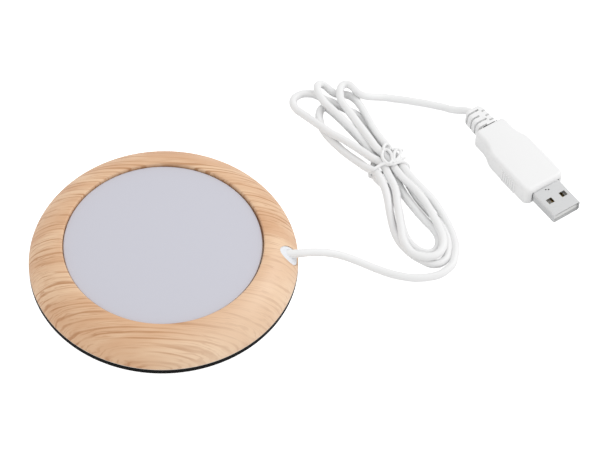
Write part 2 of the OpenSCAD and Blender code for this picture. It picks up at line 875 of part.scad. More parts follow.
// Ribbed sleeve round the cord: slots from both sides leave its core
module relief() {
    difference() {
        soft_block(-plug_back, corner_round - relief_x, relief_w, relief_t, section_round,
            corner_round);
        for (i = [1:relief_slots]) difference() {
            translate([-plug_back + i * slot_pitch, 0, 0])
                cube([slot_w, 2 * relief_w, 2 * relief_t], center = true);
            rotate([0, -90, 0]) cylinder(r = relief_core_r, h = 2 * plug_back, $fn = small_fn);
        }
    }
}

module plug_inner_mould() {
    color([0.8, 0.8, 0.78]) in_plug() difference() {
        translate([mould_x, -mould_w / 2, -mould_h / 2]) cube([mould_l, mould_w, mould_h]);
        translate([mould_x - over, 0, 0]) rotate([0, 90, 0])
            cylinder(r = cord_r + slip, h = over + mould_l / 3 + slip, $fn = small_fn);
        for (side = [-1, 1]) wire_run(side, plug_wire_r + slip, over / 2);
        for (y = contact_ys) contact_way(y, mould_x + mould_l / 2);
    }
}

// One of the cord's two wires, from its cut end out to a contact's tail
module wire_run(side, r, extra) {
    from = [mould_x + mould_l / 3 + cord_end_gap, side * core_y, 0];
    to = [-shell_in - contact_tail - cord_end_gap, side * contact_ys[3], 0];
    rod(from, to, r, extra);
}

module contact_way(y, x0) {
    translate([x0, y - contact_w / 2 - slip, tongue_top - slip])
        cube([-x0 + slip, contact_w + 2 * slip, contact_t + 2 * slip]);
}

module plug_shell() {
    color([0.78, 0.79, 0.8]) in_plug() difference() {
        translate([-shell_in, 0, 0]) rotate([90, 0, 90])
            linear_extrude(shell_in + shell_out) difference() {
                round_rect(shell_w, shell_h, shell_round);
                square([shell_w - 2 * shell_wall, shell_h - 2 * shell_wall], center = true);
            }
        for (side = [-1, 1])
            translate([shell_out / 2, side * shell_hole_gap / 2, 0])
                cube([shell_hole_l, shell_hole_w, 2 * shell_h], center = true);
    }
}

module plug_tongue() {
    block_h = shell_h - 2 * shell_wall - 0.1;
    color([0.9, 0.9, 0.9]) in_plug() difference() {
        union() {
            translate([-shell_in, -tongue_w / 2, tongue_low])
                cube([shell_in + shell_out - tongue_end, tongue_w, tongue_h - slip]);
            translate([-shell_in, -tongue_w / 2, tongue_low])
                cube([shell_in - 1, tongue_w, block_h]);
        }
        for (y = contact_ys) contact_way(y, -shell_in - over);
    }
}

module plug_contacts() {
    color([0.83, 0.66, 0.3]) in_plug() for (i = [0:3]) {
        reach = (i == 0 || i == 3) ? outer_contact_l : inner_contact_l;
        translate([-shell_in - contact_tail, contact_ys[i] - contact_w / 2, tongue_top])
            cube([shell_in + contact_tail + reach, contact_w, contact_t]);
    }
}

module plug_cord_end() {
    color([0.92, 0.92, 0.92]) in_plug() translate([-plug_back, 0, 0]) rotate([0, 90, 0])
        cylinder(r = cord_r, h = plug_back + mould_x + mould_l / 3, $fn = small_fn);
}

module plug_wires() {
    color([0.75, 0.08, 0.06]) in_plug() for (side = [-1, 1]) wire_run(side, plug_wire_r, 0);
}

top_ring();
heating_plate();
plate_seal();
heater_film();
heater_track();
thermal_fuse();
fuse_sleeve();
insulation_pad();
heater_retainer();
retainer_screws();
base_cover();
base_screws();
rubber_feet();
cord_grommet();
cord_inner();
cord_clamp();
clamp_screws();
positive_wire();
negative_wire();
fuse_wire();
wire_crimps();
solder_joints();
cord_lead();
cord_hank();
cord_tail();
twist_tie();
plug_body();
plug_inner_mould();
plug_shell();
plug_tongue();
plug_contacts();
plug_cord_end();
plug_wires();
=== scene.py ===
import math

import bmesh
import bpy
from mathutils import Matrix, Vector


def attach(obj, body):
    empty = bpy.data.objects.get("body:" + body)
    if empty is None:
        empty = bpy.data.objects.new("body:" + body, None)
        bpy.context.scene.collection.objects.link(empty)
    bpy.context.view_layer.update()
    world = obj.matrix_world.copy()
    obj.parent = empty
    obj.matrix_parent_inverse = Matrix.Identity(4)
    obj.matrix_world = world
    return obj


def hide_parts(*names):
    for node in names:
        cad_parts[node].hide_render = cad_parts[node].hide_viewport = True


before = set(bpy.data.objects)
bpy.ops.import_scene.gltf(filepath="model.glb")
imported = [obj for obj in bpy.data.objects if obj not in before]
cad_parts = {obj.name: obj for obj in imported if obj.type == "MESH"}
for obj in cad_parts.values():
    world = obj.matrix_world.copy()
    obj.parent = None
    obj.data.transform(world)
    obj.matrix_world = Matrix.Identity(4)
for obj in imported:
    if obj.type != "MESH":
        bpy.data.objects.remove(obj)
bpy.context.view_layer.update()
mm = 0.001
weld = 0.002  # points that lie closer than this, in millimetres, become one

# Camera

camera = {
    "aim": (47.9, 20.6, 0),
    "distance": 870.6,
    "elevation": 51.9,
    "roll": 2.7,
    "lens": 144,
    "sensor": 36,
    "clip": (0.02, 20),
}


def makeCamera():
    data = bpy.data.cameras.new("camera")
    data.lens = camera["lens"]
    data.sensor_width = camera["sensor"]
    data.clip_start, data.clip_end = camera["clip"]
    seen = bpy.data.objects.new("camera", data)
    bpy.context.collection.objects.link(seen)
    tilt = math.radians(camera["elevation"])
    back = Vector((0, -math.cos(tilt), math.sin(tilt)))
    place = (Vector(camera["aim"]) + camera["distance"] * back) * mm
    turn = Matrix.Rotation(math.pi / 2 - tilt, 4, "X")
    turn = turn @ Matrix.Rotation(math.radians(camera["roll"]), 4, "Z")
    seen.matrix_world = Matrix.Translation(place) @ turn
    bpy.context.scene.camera = seen


makeCamera()
print("camera set")

# Small helpers for meshes


def finishMesh(name, bm, materials, smoothAngle=35):
    bmesh.ops.remove_doubles(bm, verts=bm.verts, dist=weld * mm)
    bmesh.ops.recalc_face_normals(bm, faces=bm.faces)
    mesh = bpy.data.meshes.new(name)
    bm.to_mesh(mesh)
    bm.free()
    piece = bpy.data.objects.new(name, mesh)
    bpy.context.collection.objects.link(piece)
    for material in materials:
        mesh.materials.append(material)
    mesh.shade_smooth()
    mesh.set_sharp_from_angle(angle=math.radians(smoothAngle))
    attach(piece, "root")
    return piece


def spinProfile(points, steps):
    bm = bmesh.new()  # points are (radius, height) pairs in millimetres
    verts = [bm.verts.new((r * mm, 0, z * mm)) for r, z in points]
    edges = [bm.edges.new(pair) for pair in zip(verts, verts[1:])]
    if points[0][0] > 0:
        edges.append(bm.edges.new((verts[-1], verts[0])))
    bmesh.ops.spin(bm, geom=verts + edges, cent=(0, 0, 0), axis=(0, 0, 1), angle=2 * math.pi,
        steps=steps, use_merge=True, use_duplicate=False)
    bmesh.ops.remove_doubles(bm, verts=bm.verts, dist=weld * mm)
    return bm


def curvePiece(name, runs, radius, material, bevel=6):
    data = bpy.data.curves.new(name, "CURVE")
    data.dimensions = "3D"
    data.bevel_depth = radius * mm
    data.bevel_resolution = bevel
    data.resolution_u = 6
    data.use_fill_caps = True
    for points in runs:
        spline = data.splines.new("BEZIER")
        spline.bezier_points.add(len(points) - 1)
        for knot, point in zip(spline.bezier_points, points):
            knot.co = Vector(point) * mm
            knot.handle_left_type = knot.handle_right_type = "AUTO"
    data.materials.append(material)
    piece = bpy.data.objects.new(name, data)
    bpy.context.collection.objects.link(piece)
    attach(piece, "root")
    return piece


def toolObject(bm):
    mesh = bpy.data.meshes.new("cutter")
    bm.to_mesh(mesh)
    bm.free()
    tool = bpy.data.objects.new("cutter", mesh)
    bpy.context.collection.objects.link(tool)
    return tool


def carve(piece, tool, smoothAngle=35):
    cut = piece.modifiers.new("cut", "BOOLEAN")
    cut.operation = "DIFFERENCE"
    cut.solver = "EXACT"
    cut.object = tool
    shown = piece.evaluated_get(bpy.context.evaluated_depsgraph_get())
    solid = bpy.data.meshes.new_from_object(shown)
    piece.modifiers.clear()
    piece.data = solid
    solid.shade_smooth()
    solid.set_sharp_from_angle(angle=math.radians(smoothAngle))
    bpy.data.objects.remove(tool)


def addBox(bm, low, high):
    made = bmesh.ops.create_cube(bm, size=1)["verts"]
    bmesh.ops.scale(bm, vec=(Vector(high) - Vector(low)) * mm, verts=made)
    bmesh.ops.translate(bm, vec=(Vector(high) + Vector(low)) / 2 * mm, verts=made)


def addRod(bm, start, end, radius, segments=32):
    start, end = Vector(start) * mm, Vector(end) * mm
    along = (end - start).to_track_quat("Z", "Y").to_matrix().to_4x4()
    bmesh.ops.create_cone(bm, cap_ends=True, segments=segments, radius1=radius * mm,
        radius2=radius * mm, depth=(end - start).length,
        matrix=Matrix.Translation((start + end) / 2) @ along)


def outlineSolid(corners, thickness, edge):
    bm = bmesh.new()  # corners are (x, y, rounding) in millimetres
    verts = [bm.verts.new((x * mm, y * mm, -thickness / 2 * mm)) for x, y, rounding in corners]
    bm.faces.new(verts)
    for vert, (x, y, rounding) in zip(verts, corners):
        bmesh.ops.bevel(bm, geom=[vert], offset=rounding * mm, offset_type="OFFSET", segments=8,
            profile=0.5, affect="VERTICES", material=-1)
    grown = bmesh.ops.extrude_face_region(bm, geom=list(bm.faces))["geom"]
    lifted = [g for g in grown if isinstance(g, bmesh.types.BMVert)]
    bmesh.ops.translate(bm, vec=(0, 0, thickness * mm), verts=lifted)
    bmesh.ops.holes_fill(bm, edges=[e for e in bm.edges if e.is_boundary], sides=0)
    bmesh.ops.recalc_face_normals(bm, faces=bm.faces)
    half = thickness / 2 * mm  # only the upright edges climb more than this
    rims = [e for e in bm.edges if abs(e.verts[0].co.z - e.verts[1].co.z) < half]
    bmesh.ops.bevel(bm, geom=rims, offset=edge * mm, offset_type="OFFSET", segments=7, profile=0.5,
        affect="EDGES", material=-1)
    return bm


# Materials


def newMaterial(name):
    material = bpy.data.materials.new(name)
    material.use_nodes = True
    nodes = material.node_tree.nodes
    return material, nodes, material.node_tree.links, nodes["Principled BSDF"]


def objectVector(nodes, links, scale=(1, 1, 1), turn=0):
    place = nodes.new("ShaderNodeTexCoord")
    mapping = nodes.new("ShaderNodeMapping")
    mapping.inputs["Scale"].default_value = scale
    mapping.inputs["Rotation"].default_value = (0, 0, math.radians(turn))
    links.new(place.outputs["Object"], mapping.inputs["Vector"])
    return mapping.outputs["Vector"]


def makeSurfaceGroup():
    group = bpy.data.node_groups.new("fineSurface", "ShaderNodeTree")
    face = group.interface
    face.new_socket("Vector", in_out="INPUT", socket_type="NodeSocketVector")
    face.new_socket("Color", in_out="INPUT", socket_type="NodeSocketColor")
    for name, value in (("Mottle", 0.04), ("Mottle Scale", 90), ("Grain Scale", 2600),
            ("Roughness", 0.45), ("Roughness Change", 0.12)):
        socket = face.new_socket(name, in_out="INPUT", socket_type="NodeSocketFloat")
        socket.default_value = value
    face.new_socket("Color", in_out="OUTPUT", socket_type="NodeSocketColor")
    face.new_socket("Roughness", in_out="OUTPUT", socket_type="NodeSocketFloat")
    face.new_socket("Height", in_out="OUTPUT", socket_type="NodeSocketFloat")
    nodes, links = group.nodes, group.links
    put = nodes.new("NodeGroupInput")
    out = nodes.new("NodeGroupOutput")
    broad = nodes.new("ShaderNodeTexNoise")
    broad.inputs["Detail"].default_value = 3
    fine = nodes.new("ShaderNodeTexNoise")
    fine.inputs["Detail"].default_value = 2
    links.new(put.outputs["Vector"], broad.inputs["Vector"])
    links.new(put.outputs["Mottle Scale"], broad.inputs["Scale"])
    links.new(put.outputs["Vector"], fine.inputs["Vector"])
    links.new(put.outputs["Grain Scale"], fine.inputs["Scale"])
    dark = nodes.new("ShaderNodeMix")
    dark.data_type = "RGBA"
    dark.blend_type = "MULTIPLY"
    dark.inputs["B"].default_value = (0.55, 0.55, 0.55, 1)
    amount = nodes.new("ShaderNodeMath")
    amount.operation = "MULTIPLY"
    links.new(broad.outputs["Fac"], amount.inputs[0])
    links.new(put.outputs["Mottle"], amount.inputs[1])
    links.new(amount.outputs[0], dark.inputs["Factor"])
    links.new(put.outputs["Color"], dark.inputs["A"])
    links.new(dark.outputs["Result"], out.inputs["Color"])
    swing = nodes.new("ShaderNodeMath")
    swing.operation = "MULTIPLY_ADD"
    centre = nodes.new("ShaderNodeMath")
    centre.operation = "SUBTRACT"
    centre.inputs[1].default_value = 0.5
    links.new(broad.outputs["Fac"], centre.inputs[0])
    links.new(centre.outputs[0], swing.inputs[0])
    links.new(put.outputs["Roughness Change"], swing.inputs[1])
    links.new(put.outputs["Roughness"], swing.inputs[2])
    links.new(swing.outputs[0], out.inputs["Roughness"])
    links.new(fine.outputs["Fac"], out.inputs["Height"])
    return group


fineSurface = makeSurfaceGroup()


def surfaceMaterial(name, look):  # an even colour with faint mottle and a fine grain
    material, nodes, links, shader = newMaterial(name)
    group = nodes.new("ShaderNodeGroup")
    group.node_tree = fineSurface
    links.new(objectVector(nodes, links, look.get("stretch", (1, 1, 1)), look.get("turn", 0)),
        group.inputs["Vector"])
    group.inputs["Color"].default_value = (*look["colour"], 1)
    for socket, key in (("Mottle", "mottle"), ("Mottle Scale", "mottleScale"),
            ("Grain Scale", "grainScale"), ("Roughness", "roughness"),
            ("Roughness Change", "roughnessChange")):
        if key in look:
            group.inputs[socket].default_value = look[key]
    bump = nodes.new("ShaderNodeBump")
    bump.inputs["Strength"].default_value = look.get("bump", 0.15)
    bump.inputs["Distance"].default_value = look.get("bumpDepth", 0.05) * mm
    links.new(group.outputs["Color"], shader.inputs["Base Color"])
    links.new(group.outputs["Roughness"], shader.inputs["Roughness"])
    links.new(group.outputs["Height"], bump.inputs["Height"])
    links.new(bump.outputs["Normal"], shader.inputs["Normal"])
    shader.inputs["Metallic"].default_value = look.get("metallic", 0)
    shader.inputs["Coat Weight"].default_value = look.get("coat", 0)
    shader.inputs["Specular IOR Level"].default_value = look.get("specular", 0.5)
    return material


finishes = {
    "whiteCordJacket": {"colour": (0.9, 0.9, 0.9), "roughness": 0.42, "mottle": 0.03, "bump": 0.12},
    "whitePlugPlastic": {"colour": (0.9, 0.9, 0.9), "roughness": 0.36, "mottle": 0.03, "bump": 0.18,
        "grainScale": 1800},
    "whiteGrommet": {"colour": (0.84, 0.86, 0.9), "roughness": 0.4, "mottle": 0.12, "mottleScale": 700},
    "whiteTieJacket": {"colour": (0.92, 0.92, 0.92), "roughness": 0.33, "mottle": 0.03, "bump": 0.1},
    "paleCeramicPlate": {"colour": (0.61, 0.61, 0.68), "roughness": 0.38, "mottle": 0.012,
        "mottleScale": 30, "bump": 0.05, "grainScale": 5200, "coat": 0.12},
    "blackBasePlastic": {"colour": (0.004, 0.004, 0.0045), "roughness": 0.6, "mottle": 0.3, "bump": 0.3,
        "grainScale": 1500, "specular": 0.1},
    "blackRubber": {"colour": (0.018, 0.018, 0.018), "roughness": 0.75, "mottle": 0.3, "bump": 0.4,
        "grainScale": 1200},
    "brightSteel": {"colour": (0.68, 0.685, 0.69), "roughness": 0.26, "mottle": 0.08, "metallic": 1,
        "stretch": (0.08, 1, 1), "turn": 53, "grainScale": 4200, "bump": 0.12, "roughnessChange": 0.15},
    "zincScrew": {"colour": (0.62, 0.63, 0.65), "roughness": 0.34, "mottle": 0.2, "metallic": 1},
    "goldContact": {"colour": (0.83, 0.6, 0.25), "roughness": 0.25, "mottle": 0.1, "metallic": 1},
    "tinnedCopper": {"colour": (0.72, 0.62, 0.52), "roughness": 0.38, "mottle": 0.2, "metallic": 1},
    "solder": {"colour": (0.6, 0.6, 0.6), "roughness": 0.3, "mottle": 0.35, "metallic": 1,
        "mottleScale": 900},
    "springSteel": {"colour": (0.5, 0.51, 0.53), "roughness": 0.36, "mottle": 0.15, "metallic": 1,
        "stretch": (0.1, 1, 1)},
    "amberFilm": {"colour": (0.52, 0.23, 0.05), "roughness": 0.3, "mottle": 0.15, "coat": 0.3},
    "etchedFoil": {"colour": (0.55, 0.53, 0.5), "roughness": 0.4, "mottle": 0.2, "metallic": 1},
    "greyFelt": {"colour": (0.52, 0.5, 0.46), "roughness": 0.95, "mottle": 0.7, "mottleScale": 1500,
        "grainScale": 3800, "bump": 0.9, "bumpDepth": 0.15},
    "siliconeSeal": {"colour": (0.7, 0.7, 0.68), "roughness": 0.55, "mottle": 0.1},
    "whiteSleeve": {"colour": (0.75, 0.74, 0.7), "roughness": 0.7, "mottle": 0.35, "mottleScale": 1600,
        "bump": 0.5},
    "fuseShell": {"colour": (0.66, 0.64, 0.6), "roughness": 0.32, "mottle": 0.15, "metallic": 0.9},
    "redWire": {"colour": (0.5, 0.02, 0.015), "roughness": 0.4, "mottle": 0.1},
    "blackWire": {"colour": (0.02, 0.02, 0.02), "roughness": 0.4, "mottle": 0.2},
    "milkyTongue": {"colour": (0.84, 0.84, 0.83), "roughness": 0.4, "mottle": 0.06},
    "clampNylon": {"colour": (0.62, 0.61, 0.57), "roughness": 0.5, "mottle": 0.12},
}
finish = {name: surfaceMaterial(name, look) for name, look in finishes.items()}

# Printed beech: lines along X seen from above, over warm and pale patches, with painted light making the
# right-front side paler, and a painted highlight along the foot

beech = {
    "pale": (0.85, 0.58, 0.37),
    "warm": (0.72, 0.42, 0.235),
    "line": (0.5, 0.235, 0.1),
    "patches": {"stretch": (0.14, 1, 0.3), "detail": 3, "size": 110, "distortion": 0.6,
        "edges": (0.38, 0.62), "most": 1},
    "fibres": {"stretch": (0.04, 1, 0.35), "detail": 3, "size": 1300, "distortion": 0.3,
        "edges": (0.5, 0.75), "most": 0.6},
    "wideLines": {"scale": 150, "distortion": 9, "edges": (0.66, 0.95), "most": 0.85,
        "breaks": {"stretch": (0.12, 1, 0.4), "detail": 2, "size": 260, "edges": (0.4, 0.58), "most": 1}},
    "fineLines": {"scale": 380, "distortion": 14, "edges": (0.62, 0.95), "most": 0.6,
        "breaks": {"stretch": (0.12, 1, 0.4), "detail": 2, "size": 420, "edges": (0.42, 0.6), "most": 1}},
    "lineStretch": (0.06, 1, 0.35), "lineDetail": 3, "lineDetailScale": 1.2,
    # painted light: the right-front side of the ring is painted paler, where the key lamp falls
    "paintedLight": (0.97, 0.76, 0.56), "paintedLightSide": (0.8, -0.6, 0),
    "paintedLightFrom": 24, "paintedLightTo": 42, "paintedLightMost": 0.5,
    # painted highlight: a pale band painted along the foot stands for the light caught on the rounded lower
    # edge
    "foot": (0.9, 0.82, 0.74), "footHighlightTop": 3.1, "footHighlightBlend": 0.05,
    "roughness": 0.42, "lineRoughness": 0.12, "lineBump": 0.12, "lineBumpDepth": 0.06,
}


def woodMaterial():
    material, nodes, links, shader = newMaterial("printedBeech")

    def ramp(value, low, high, most):
        made = nodes.new("ShaderNodeMapRange")
        made.inputs["From Min"].default_value = low
        made.inputs["From Max"].default_value = high
        made.inputs["To Max"].default_value = most
        links.new(value, made.inputs["Value"])
        return made.outputs["Result"]

    def patches(look):
        made = nodes.new("ShaderNodeTexNoise")
        made.inputs["Scale"].default_value = look["size"]
        made.inputs["Detail"].default_value = look["detail"]
        made.inputs["Distortion"].default_value = look.get("distortion", 0)
        links.new(objectVector(nodes, links, look["stretch"]), made.inputs["Vector"])
        return ramp(made.outputs["Fac"], *look["edges"], look["most"])

    def times(a, b):
        made = nodes.new("ShaderNodeMath")
        made.operation = "MULTIPLY"
        links.new(a, made.inputs[0])
        links.new(b, made.inputs[1])
        return made.outputs[0]

    def lines(look):
        made = nodes.new("ShaderNodeTexWave")
        made.bands_direction = "Y"
        made.inputs["Scale"].default_value = look["scale"]
        made.inputs["Distortion"].default_value = look["distortion"]
        made.inputs["Detail"].default_value = beech["lineDetail"]
        made.inputs["Detail Scale"].default_value = beech["lineDetailScale"]
        links.new(objectVector(nodes, links, beech["lineStretch"]), made.inputs["Vector"])
        thin = ramp(made.outputs["Fac"], *look["edges"], look["most"])
        return times(thin, patches(look["breaks"]))

    def blend(base, other, factor):
        made = nodes.new("ShaderNodeMix")
        made.data_type = "RGBA"
        links.new(base, made.inputs["A"])
        made.inputs["B"].default_value = (*other, 1)
        links.new(factor, made.inputs["Factor"])
        return made.outputs["Result"]

    start = nodes.new("ShaderNodeRGB")
    start.outputs[0].default_value = (*beech["pale"], 1)
    wide = lines(beech["wideLines"])
    colour = blend(start.outputs[0], beech["warm"], patches(beech["patches"]))
    colour = blend(colour, beech["line"], lines(beech["fineLines"]))
    colour = blend(colour, beech["line"], wide)
    colour = blend(colour, beech["warm"], patches(beech["fibres"]))
    place = nodes.new("ShaderNodeTexCoord")
    # painted light: the colour grows paler towards the right front, by object position along the lit side
    side = nodes.new("ShaderNodeVectorMath")
    side.operation = "DOT_PRODUCT"
    side.inputs[1].default_value = beech["paintedLightSide"]
    links.new(place.outputs["Object"], side.inputs[0])
    paintedLight = ramp(side.outputs["Value"], beech["paintedLightFrom"] * mm, beech["paintedLightTo"] * mm,
        beech["paintedLightMost"])
    colour = blend(colour, beech["paintedLight"], paintedLight)
    # painted highlight: below the top of the foot band the colour is painted pale
    split = nodes.new("ShaderNodeSeparateXYZ")
    links.new(place.outputs["Object"], split.inputs["Vector"])
    footHighlightTop = beech["footHighlightTop"]
    foot = ramp(split.outputs["Z"], footHighlightTop * mm, (footHighlightTop - beech["footHighlightBlend"]) * mm, 1)
    colour = blend(colour, beech["foot"], foot)
    links.new(colour, shader.inputs["Base Color"])
    rough = nodes.new("ShaderNodeMath")
    rough.operation = "MULTIPLY_ADD"
    rough.inputs[1].default_value = beech["lineRoughness"]
    rough.inputs[2].default_value = beech["roughness"]
    links.new(wide, rough.inputs[0])
    links.new(rough.outputs[0], shader.inputs["Roughness"])
    bump = nodes.new("ShaderNodeBump")
    bump.inputs["Strength"].default_value = beech["lineBump"]
    bump.inputs["Distance"].default_value = beech["lineBumpDepth"] * mm
    bump.invert = True
    links.new(wide, bump.inputs["Height"])
    links.new(bump.outputs["Normal"], shader.inputs["Normal"])
    return material


printedBeech = woodMaterial()
print("materials made")

# Cord: one length from the clamp in the body, through the hank, to the plug

cord = {
    "diameter": 3,
    "exit": (46.8, 0, 8.6),
    "inside": [(25, 0, 4.2), (28.5, 0, 4.2), (30.5, 0, 4.2), (32, 0, 4.5), (33.5, 0, 5.4), (35, 0, 6.6),
        (36.7, 0, 7.8), (38.4, 0, 8.4), (39.8, 0, 8.6), (43, 0.3, 8.7)],
    "lead": [(46.8, 0.75, 8.75), (49.2, 1.15, 8.75), (52.2, 1.95, 8.4), (55.5, 2.65, 7.75), (59, 3.2, 6.8),
        (62.5, 3.4, 5.7), (66.5, 3.1, 4.4), (70, 2.4, 3.4), (73.5, 1.5, 2.5), (77, 0.5, 1.9),
        (81, -0.7, 1.6), (84.5, -1.6, 1.65), (88, -2.1, 1.65), (91.5, -2, 1.65), (95, -1.4, 1.65),
        (98.5, -0.1, 1.65), (101, 2, 1.65), (103, 4.6, 1.65), (104, 8.6, 1.65), (104.2, 13.5, 1.65),
        (103.3, 18, 1.6), (101.5, 22.6, 2.1), (98.9, 27.4, 3), (95.9, 32, 3.9), (91.8, 36.4, 4.9),
        (89.1, 39.6, 5.2), (87, 42.3, 5.3), (85, 45.6, 5.4)],
    "middleFold": [(82.8, 49.6, 5.4), (79.8, 53.5, 5.4), (77.4, 57.6, 5.1), (74.6, 62.3, 4.7),
        (72.3, 67.3, 4.4), (70.2, 72.2, 4), (68.4, 76.5, 3.3), (66.3, 80.4, 2.3), (64, 82.7, 1.6),
        (61.6, 83.2, 1.6), (59, 83.3, 1.6), (56.6, 85.2, 1.6), (54.9, 86.8, 1.8), (53.4, 86.9, 2.6),
        (52.2, 85.3, 3.6), (52, 82.7, 4.4), (52.6, 80.1, 4.8), (53.8, 77.6, 4.9), (55.4, 75.1, 4.9),
        (57.7, 72.7, 4.8), (60.6, 69.5, 4.7), (63.6, 66, 4.6), (66.5, 62.7, 4.4), (69, 59.5, 4),
        (71, 56.8, 3.6), (72.5, 54.6, 3.1), (73.8, 52.9, 2.3), (74.3, 51.2, 1.7)],
    "innerLoop": [(74.4, 48.9, 1.6), (74.3, 46.8, 1.6), (74.4, 44.8, 1.6), (75.2, 42.9, 1.6),
        (76.7, 41.2, 1.6), (78.9, 38.7, 1.6), (81, 35.2, 1.6), (82.7, 31.4, 1.6), (83.9, 27, 1.6),
        (84.6, 22.4, 1.6), (85.7, 18.1, 1.6), (87.2, 14.5, 1.6), (89.4, 11.7, 1.6), (92.1, 9.8, 1.6),
        (95, 9.4, 1.6), (97.1, 10.9, 1.6), (98.2, 13.8, 1.6), (97.9, 17, 1.6), (96.2, 20.5, 1.6),
        (93.6, 23.6, 1.65), (88.7, 30.5, 1.65), (84.5, 37.5, 1.8), (82.3, 42.5, 2.3)],
    "innerFold": [(80.4, 48.3, 2.4), (78.4, 51.4, 2), (76, 53.7, 1.6), (73.4, 56.3, 1.6), (70.3, 59.5, 1.6),
        (67.4, 63, 1.6), (64.7, 66.4, 1.6), (62, 69.7, 1.6), (59.5, 72.5, 1.6), (57.4, 74.7, 1.6),
        (55.5, 76.1, 1.6), (53.9, 75.3, 1.6), (53.2, 73, 1.6), (53.4, 69.9, 1.6), (54.1, 66.9, 1.6),
        (55.7, 63.5, 1.6), (58, 60.3, 1.6), (60.4, 57.5, 1.6), (63.1, 54.7, 1.6), (66, 52.1, 1.6),
        (68.7, 49.5, 2.1), (71.1, 46.5, 3.3)],
    "outerLoop": [(73.1, 44.5, 4.4), (75, 43, 4.8), (76.4, 40.5, 4.7), (77.7, 37.4, 4.6), (78.7, 34.1, 4.4),
        (79.4, 31.1, 3.8), (80, 27.9, 3.1), (80.6, 24.8, 2.4), (81.3, 21.6, 1.9), (82.2, 18.2, 1.6),
        (83.7, 14.6, 1.6), (85.9, 11.3, 1.6), (88.7, 8.4, 1.6), (91.5, 6.4, 1.65), (96.5, 4.4, 1.65),
        (100.1, 6.3, 1.65), (101.5, 11, 1.65), (101, 16.9, 1.65), (98.1, 23.8, 1.65), (93.4, 30, 1.65),
        (89.5, 36, 1.7), (86.3, 42.5, 2.1)],
    "outerFold": [(83.1, 49.8, 2.4), (80.7, 53.8, 2), (78.5, 56.9, 1.7), (76.2, 60, 1.6), (74, 63.5, 1.6),
        (71.7, 67.2, 1.6), (69.3, 70.7, 1.6), (66.8, 73.5, 1.6), (64.1, 75.2, 1.6), (61.2, 76.9, 1.6),
        (58.2, 78.6, 1.6), (55.1, 80.2, 1.6), (52, 81.8, 1.6), (48.4, 82.6, 1.6), (45.1, 81.6, 1.6),
        (43.1, 78.5, 1.6), (44.2, 75, 1.6), (47.3, 71.9, 1.9), (50, 68.8, 2.9), (52.6, 65.6, 4.1),
        (55.3, 63, 4.7), (58.4, 60.7, 4.6), (61.4, 58.9, 4.6), (64.4, 56.9, 4.6), (67.2, 54.7, 4.7),
        (70.1, 52.3, 4.9), (72.9, 49.8, 5.2)],
    "middleLoop": [(77.2, 46.6, 5.4), (79.5, 41.5, 5.2), (81.2, 37.8, 5), (82.3, 34.2, 4.8),
        (83, 28.6, 4.6), (83.8, 22.9, 4.5), (84.5, 17.4, 4.5), (85.2, 12.9, 4.5), (86.6, 9.3, 4.5),
        (88.7, 6.7, 4.5), (91.5, 5.6, 4.5), (94.5, 5.4, 4.5), (97.3, 6.6, 4.5), (99.2, 9.5, 4.5),
        (99.6, 13.3, 4.5), (98.3, 18.4, 4.5), (96.2, 23.7, 4.5), (93.8, 28.8, 4.6), (91.3, 33, 4.8),
        (88.4, 36.8, 5), (85.5, 39.8, 5.2), (83.2, 42.7, 5.3)],
    "tailFold": [(80.1, 48, 5.4), (77.6, 51.2, 5.6), (75.2, 53.5, 5.7), (72.7, 57.4, 5.7),
        (70.1, 61.7, 5.6), (67.7, 65.6, 5.5), (65.4, 69.5, 5.4), (63.1, 73.3, 5.3), (61.3, 76.5, 5.2),
        (60.6, 79.8, 5.2), (60.7, 82.8, 5.2), (61.9, 84.8, 5.2), (63.6, 85, 5.2), (65.2, 83.8, 5.2),
        (66.7, 81.9, 5.2)],
    "tail": [(68.4, 80.6, 4.9), (70.7, 80.3, 4.3), (73.9, 81.2, 3.1), (77.3, 82, 2.2), (81.1, 82, 1.7),
        (85.1, 81.7, 1.6), (89.1, 81.1, 1.6), (92.9, 80.5, 1.6), (96.7, 79.7, 1.6), (100.4, 78.9, 1.6),
        (102.2, 78, 1.9), (105.2, 76.9, 2.7), (107.6, 76.1, 3.6), (109.3, 75.3, 4.1), (110.5, 74.1, 4.2),
        (112.3, 71.8, 4.2)],
}


def makeCord():
    points = []
    for part in ("inside", "lead", "middleFold", "innerLoop", "innerFold", "outerLoop", "outerFold",
            "middleLoop", "tailFold", "tail"):
        points += cord[part]
    piece = curvePiece("usbCord", [points], cord["diameter"] / 2, finish["whiteCordJacket"])
    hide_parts("cord_inner", "cord_lead", "cord_hank", "cord_tail")
    return piece


usbCord = makeCord()
print("cord laid")

# Ring

ring = {
    "bodyR": 48, "lipR": 35.6, "lipRound": 0.6, "top": 13.3, "bottom": 2.7, "band": 3.2,
    "wall": 2, "skirtR": 37.2, "ledgeR": 32, "ledgeTop": 10.1, "ledgeLow": 8.6,
    "domePower": 1.7, "rimRound": 0.25, "rimMiddle": 0.3,
    "steps": 256, "lipSteps": 7, "domeSteps": 44, "innerSteps": 20, "smoothAngle": 30,
    "portR": 3.5, "portZ": 8.3, "portStart": 39.6, "portLength": 12, "portSteps": 96,
}


def domeArc(innerR, high, outerR, low, steps):
    power = 2 / ring["domePower"]
    arc = []
    for i in range(steps + 1):
        t = math.pi / 2 * i / steps
        arc.append((innerR + (outerR - innerR) * math.sin(t) ** power,
            low + (high - low) * max(math.cos(t), 0) ** power))
    return arc


def domeX(y, z):
    r = ring
    innerR = r["lipR"] + r["lipRound"]
    level = min(max((z - r["band"]) / (r["top"] - r["band"]), 0), 1)
    reach = innerR + (r["bodyR"] - innerR) * (1 - level ** r["domePower"]) ** (1 / r["domePower"])
    return math.sqrt(reach ** 2 - y ** 2)


